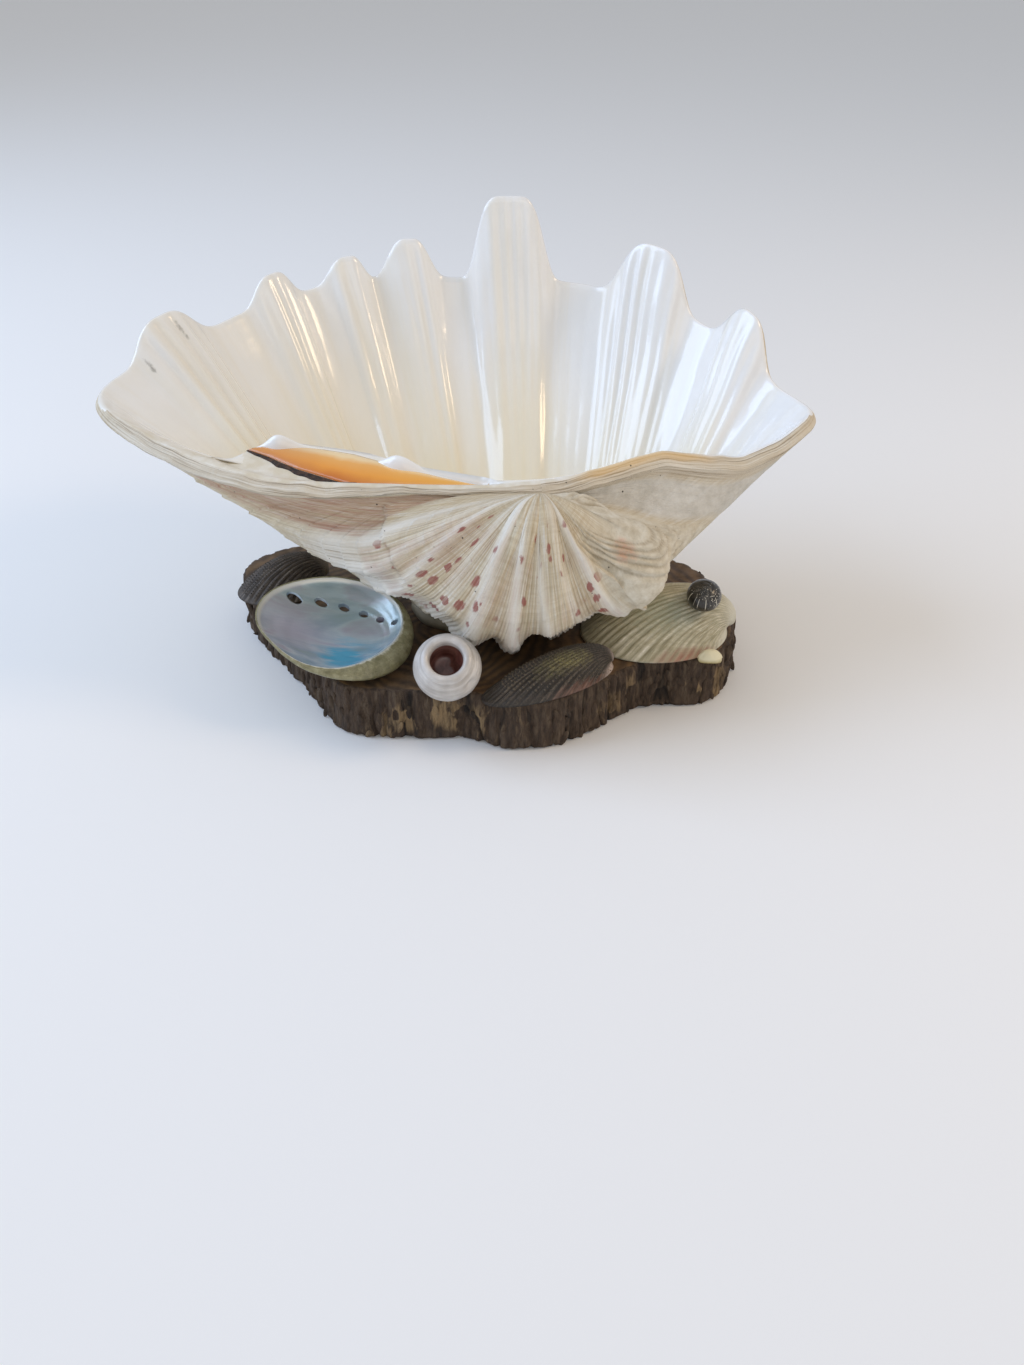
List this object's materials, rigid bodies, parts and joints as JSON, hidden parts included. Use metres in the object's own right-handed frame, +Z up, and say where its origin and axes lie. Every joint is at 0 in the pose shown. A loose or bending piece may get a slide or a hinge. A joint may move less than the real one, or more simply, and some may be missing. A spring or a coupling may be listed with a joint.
{
  "type": "mounted giant clam shell",
  "caption": "Fluted giant clam valve standing hollow side up on a bark-edged wood slab, with smaller shells glued round its foot.",
  "frame": {"origin": "centre of the slab's flat underside, as the middle of the base block", "axes": "+X to the right seen from the hinge side, along the clam's length; +Z up; -Y faces the viewer on the hinge side"},
  "size_m": [0.3049, 0.2098, 0.1766],
  "materials": {
    "bark_wood": "rough bark on the side, sawn and stained top",
    "clam_shell": "polished porcelain-like inside, chalky ribbed outside",
    "putty": "dull cream set putty",
    "abalone": "mother-of-pearl inside, olive and cream crust outside",
    "white_shell": "satin white with fine growth rings",
    "dark_shell": "rough beaded ribs, worn pale at one end",
    "cockle": "grey-beige ribs with pink at the edge",
    "black_shell": "glossy black with white lines and dots",
    "grey_shell": "matt grey-brown beaded ribs"
  },
  "bodies": {
    "root": {"wood_slab": "bark_wood", "clam_valve": "clam_shell", "putty_bed": "putty", "abalone_shell": "abalone", "turban_shell": "white_shell", "mussel_shell": "dark_shell", "cockle_shell": "cockle", "nerite_shell": "black_shell", "ark_shell": "grey_shell", "glue_bead": "putty"}
  },
  "joints": []
}
